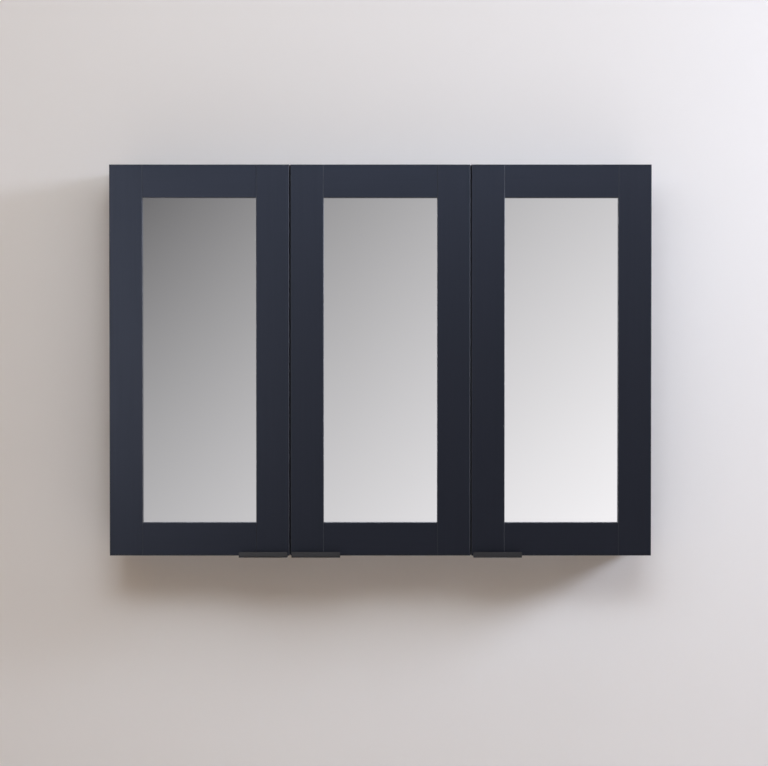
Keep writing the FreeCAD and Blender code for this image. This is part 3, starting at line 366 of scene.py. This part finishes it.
class MIRRORCABINET_OT_shelves(bpy.types.Operator):
    """Clear glass with ground edges for the shelves, and plated pins under them."""

    bl_idname = "mirror_cabinet.shelves"
    bl_label = "Shelves"

    def execute(self, context):
        look = finishes()

        def glass(sheet):
            level = sheet.math("ABSOLUTE", sheet.facing(UPRIGHT))
            ground = sheet.math("LESS_THAN", level, GROUND_BELOW)
            float_wave = sheet.noise(3.0, detail=1.0)
            clear = sheet.blend(float_wave, rgba(look.shelf, 0.97), rgba(look.shelf))
            return {
                "Base Color": sheet.blend(ground, clear, rgba(look.shelf_edge)),
                "Roughness": sheet.mixed(ground, 0.02, 0.1),
                "IOR": GLASS_IOR,
                "Transmission Weight": 1.0,
            }

        shelf = new_surface("shelf_glass", glass)
        for bay in ("wide", "narrow"):
            coat(shelf, f"shelf_{bay}_upper", f"shelf_{bay}_lower")
        coat(plated_steel("pin_nickel"), "shelf_pins")
        return {"FINISHED"}


def plated_steel(name, roughness=0.26):
    """Nickel-plated steel with a faint brushed variation."""
    look = finishes()

    def make(sheet):
        brushed = sheet.noise((1400.0, 1400.0, 90.0), detail=3.0)
        cloud = sheet.noise(60.0, detail=2.0)
        return {
            "Base Color": sheet.blend(cloud, rgba(look.nickel, 0.9), rgba(look.nickel, 1.04)),
            "Metallic": 1.0,
            "Roughness": sheet.between(brushed, roughness - 0.05, roughness + 0.07),
            "Normal": sheet.bump(brushed, depth=0.00003, strength=0.3),
        }

    return new_surface(name, make)


class MIRRORCABINET_OT_hinges(bpy.types.Operator):
    """Plate the concealed hinges, their pins and all the screws."""

    bl_idname = "mirror_cabinet.hinges"
    bl_label = "Hinges"

    def execute(self, context):
        pressed = plated_steel("hinge_nickel")
        turned = plated_steel("pin_steel", 0.2)
        screws = plated_steel("screw_nickel", 0.3)
        coat(pressed, "hinge_plates", "hinge_arms")
        coat(turned, "hinge_arm_pins")
        coat(screws, "hinge_screws")
        for door in DOORS:
            coat(pressed, f"hinge_cups_{door}", f"outer_links_{door}", f"inner_links_{door}")
            coat(turned, f"hinge_cup_pins_{door}")
            coat(screws, f"door_screws_{door}")
        return {"FINISHED"}


class MIRRORCABINET_OT_pulls(bpy.types.Operator):
    """Black anodised metal for the folded pulls, and clear bumpers."""

    bl_idname = "mirror_cabinet.pulls"
    bl_label = "Pulls and bumpers"

    def execute(self, context):
        look = finishes()

        def anodised(sheet):
            rolled = sheet.noise((40.0, 900.0, 900.0), detail=3.0)
            return {
                "Base Color": sheet.blend(rolled, rgba(look.anodised, 0.85), rgba(look.anodised, 1.15)),
                "Specular IOR Level": 0.3,
                "Roughness": sheet.between(rolled, 0.40, 0.48),
                "Normal": sheet.bump(rolled, depth=0.00003, strength=0.3),
            }

        pull = new_surface("pull_anodised", anodised)
        coat(pull, *(f"pull_{door}" for door in DOORS))

        def soft(sheet):
            cloud = sheet.noise(120.0, detail=2.0)
            return {
                "Base Color": sheet.blend(cloud, rgba(look.soft, 0.92), rgba(look.soft)),
                "Roughness": sheet.between(cloud, 0.3, 0.4),
                "Transmission Weight": 0.6,
                "IOR": SOFT_IOR,
            }

        coat(new_surface("bumper_soft", soft), "door_bumpers")
        return {"FINISHED"}


def flat_sheet(name, corners, faces, material):
    """A flat sheet of the stage."""
    mesh = bpy.data.meshes.new(name)
    mesh.from_pydata(corners, [], faces)
    mesh.materials.append(material)
    sheet = bpy.data.objects.new(name, mesh)
    bpy.context.scene.collection.objects.link(sheet)


def painted_wall(name, look, passes_light=False):
    """Wall paint that is clear from behind. If it passes light, only the camera meets it."""

    def make(sheet):
        roller = sheet.noise(260.0, detail=3.0)
        cloud = sheet.noise(1.3, detail=2.0)
        paint = sheet.add("ShaderNodeBsdfPrincipled", {
            "Base Color": sheet.blend(cloud, rgba(look.wall, 0.985), rgba(look.wall, 1.01)),
            "Roughness": 0.8,
            "Specular IOR Level": 0.0,
            "Normal": sheet.bump(roller, depth=0.0002, strength=0.15),
        })
        clear = sheet.add("ShaderNodeBsdfTransparent")
        behind = sheet.add("ShaderNodeNewGeometry").outputs["Backfacing"]
        if passes_light:
            looked_at = sheet.add("ShaderNodeLightPath").outputs["Is Camera Ray"]
            behind = sheet.math("MAXIMUM", behind, sheet.math("SUBTRACT", 1.0, looked_at))
        return sheet.mixed_shader(behind, paint.outputs[0], clear.outputs[0])

    return new_material(name, make)


def put_up_wall(look, drop):
    """A wall whose part behind the cabinet lets light from behind reach the cabinet's back."""
    left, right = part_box("side_panel_left")[0][0] + WALL_LAP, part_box("side_panel_right")[1][0] - WALL_LAP
    low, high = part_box("side_panel_left")[0][2] + WALL_LAP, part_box("side_panel_left")[1][2] - WALL_LAP
    outer = [(-STAGE_HALF, drop), (STAGE_HALF, drop), (STAGE_HALF, STAGE_HALF), (-STAGE_HALF, STAGE_HALF)]
    inner = [(left, low), (right, low), (right, high), (left, high)]
    corners = [(x, WALL_GAP, z) for x, z in outer + inner]
    faces = [(k, (k + 1) % 4, (k + 1) % 4 + 4, k + 4) for k in range(4)]
    flat_sheet("wall", corners, faces, painted_wall("wall_paint", look))
    flat_sheet("wall_behind", corners[4:], [(0, 1, 2, 3)], painted_wall("wall_paint_behind", look, True))


def plain_floor(look):
    """A pale floor, of which cameras and mirrors see an even tone with a faint shadow."""

    def make(sheet):
        cloud = sheet.noise(2.0, detail=3.0)
        paint = sheet.add("ShaderNodeBsdfPrincipled", {
            "Base Color": sheet.blend(cloud, rgba(look.floor, 0.98), rgba(look.floor)),
            "Roughness": 0.7,
        })
        rays = sheet.add("ShaderNodeLightPath").outputs
        seen = sheet.add("ShaderNodeEmission", {"Color": rgba(WHITE, FLOOR_SEEN)})
        mirrored = sheet.add("ShaderNodeEmission", {"Color": rgba(WHITE, ROOM_AROUND)})
        even = sheet.mixed_shader(rays["Is Glossy Ray"], seen.outputs[0], mirrored.outputs[0])
        looked_at = sheet.math("MAXIMUM", rays["Is Camera Ray"], rays["Is Glossy Ray"])
        return sheet.mixed_shader(sheet.math("MULTIPLY", looked_at, FLOOR_EVEN), paint.outputs[0], even)

    return new_material("floor_pale", make)


def add_lamp(name, place, size, power, colour):
    data = bpy.data.lights.new(name, "AREA")
    data.shape = "RECTANGLE"
    data.size, data.size_y = size
    data.energy = power
    data.color = colour
    lamp = bpy.data.objects.new(name, data)
    lamp.location = place
    lamp.rotation_mode = "QUATERNION"
    lamp.rotation_quaternion = (-Vector(place)).to_track_quat("-Z", "Y")
    bpy.context.scene.collection.objects.link(lamp)
    return lamp


def light_room():
    """A warm even fill, and for reflections a room that is brighter low on the right."""
    world = bpy.data.worlds.new("room")
    bpy.context.scene.world = world
    world.use_nodes = True
    sheet = NodeSheet(world.node_tree)
    way = sheet.add("ShaderNodeTexCoord").outputs["Generated"]
    ahead = sheet.math("ADD", sheet.dot(way, (ROOM_RISE_X, 0.0, ROOM_RISE_Z)), ROOM_AHEAD)
    near = sheet.ramp(sheet.dot(way, TO_FRONT), ROOM_EDGE, ROOM_INSIDE, interpolation_type="SMOOTHSTEP")
    level = sheet.add("ShaderNodeClamp", {"Value": sheet.mixed(near, ROOM_AROUND, ahead),
                                          "Min": ROOM_DARKEST, "Max": ROOM_BRIGHTEST}).outputs[0]
    seen = sheet.add("ShaderNodeBackground", {"Color": rgba(ROOM_TINT), "Strength": level})
    fill = sheet.add("ShaderNodeBackground", {"Color": rgba(AMBIENT)})
    pale = sheet.add("ShaderNodeBackground", {"Color": rgba(WHITE, BACKGROUND)})
    rays = sheet.add("ShaderNodeLightPath").outputs
    lit = sheet.mixed_shader(rays["Is Glossy Ray"], fill.outputs[0], seen.outputs[0])
    through = sheet.math("MAXIMUM", rays["Is Camera Ray"], rays["Is Transmission Ray"])
    shown = sheet.mixed_shader(through, lit, pale.outputs[0])
    sheet.add("ShaderNodeOutputWorld", {"Surface": shown})


def add_camera(look):
    """A camera in front of the cabinet, placed by where the door faces sit in the photograph."""
    (left, front, _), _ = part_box("stile_hinge_left")
    _, (right, _, _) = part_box("stile_hinge_right")
    metres_per_pixel = (right - left) / DOORS_WIDTH
    data = bpy.data.cameras.new("photo_camera")
    data.sensor_width = SENSOR
    data.lens = look.distance / (metres_per_pixel * PHOTO_WIDTH) * SENSOR
    camera = bpy.data.objects.new("photo_camera", data)
    across = (PHOTO_WIDTH / 2 - DOORS_CENTRE[0]) * metres_per_pixel
    drop = (PHOTO_HEIGHT / 2 - DOORS_CENTRE[1]) * metres_per_pixel
    rise = look.distance * math.tan(look.pitch) - drop
    camera.location = (across, front - look.distance, rise)
    camera.rotation_euler = (math.radians(90) - look.pitch, 0.0, 0.0)
    bpy.context.scene.collection.objects.link(camera)
    bpy.context.scene.camera = camera


class MIRRORCABINET_OT_stage(bpy.types.Operator):
    """Put up the wall, floor, lights and camera."""

    bl_idname = "mirror_cabinet.stage"
    bl_label = "Stage"

    def execute(self, context):
        look = stage_settings()
        drop = -look.floor_drop
        put_up_wall(look, drop)
        square = ((-1, -1), (1, -1), (1, 1), (-1, 1))
        corners = [(x * STAGE_HALF, y * STAGE_HALF, drop) for x, y in square]
        flat_sheet("floor", corners, [(0, 1, 2, 3)], plain_floor(look))
        for lamp in LAMPS:
            add_lamp(*lamp)
        for card in CARDS:
            add_lamp(*card).visible_diffuse = False
        light_room()
        add_camera(look)
        context.scene.view_settings.view_transform = "Standard"
        return {"FINISHED"}


OPERATORS = (
    MIRRORCABINET_OT_door_frames,
    MIRRORCABINET_OT_mirrors,
    MIRRORCABINET_OT_carcass,
    MIRRORCABINET_OT_shelves,
    MIRRORCABINET_OT_hinges,
    MIRRORCABINET_OT_pulls,
    MIRRORCABINET_OT_stage,
)


class MIRRORCABINET_PT_panel(bpy.types.Panel):
    """The cabinet's pieces, in the order that they are made."""

    bl_idname = "MIRRORCABINET_PT_panel"
    bl_label = "Mirror Cabinet"
    bl_space_type = "VIEW_3D"
    bl_region_type = "UI"
    bl_category = "Mirror Cabinet"

    def draw(self, context):
        for operator in OPERATORS:
            self.layout.operator(operator.bl_idname)
        for settings in (finishes(), stage_settings()):
            box = self.layout.box()
            for name in settings.__annotations__:
                box.prop(settings, name)


CLASSES = (MirrorCabinetFinishes, MirrorCabinetStage, *OPERATORS, MIRRORCABINET_PT_panel)


def register():
    for made in CLASSES:
        bpy.utils.register_class(made)
    bpy.types.Scene.mirror_cabinet_finishes = PointerProperty(type=MirrorCabinetFinishes)
    bpy.types.Scene.mirror_cabinet_stage = PointerProperty(type=MirrorCabinetStage)


def unregister():
    del bpy.types.Scene.mirror_cabinet_stage
    del bpy.types.Scene.mirror_cabinet_finishes
    for made in reversed(CLASSES):
        bpy.utils.unregister_class(made)


def main():
    register()
    for operator in OPERATORS:
        group, name = operator.bl_idname.split(".")
        getattr(getattr(bpy.ops, group), name)()


if __name__ == "__main__":
    main()
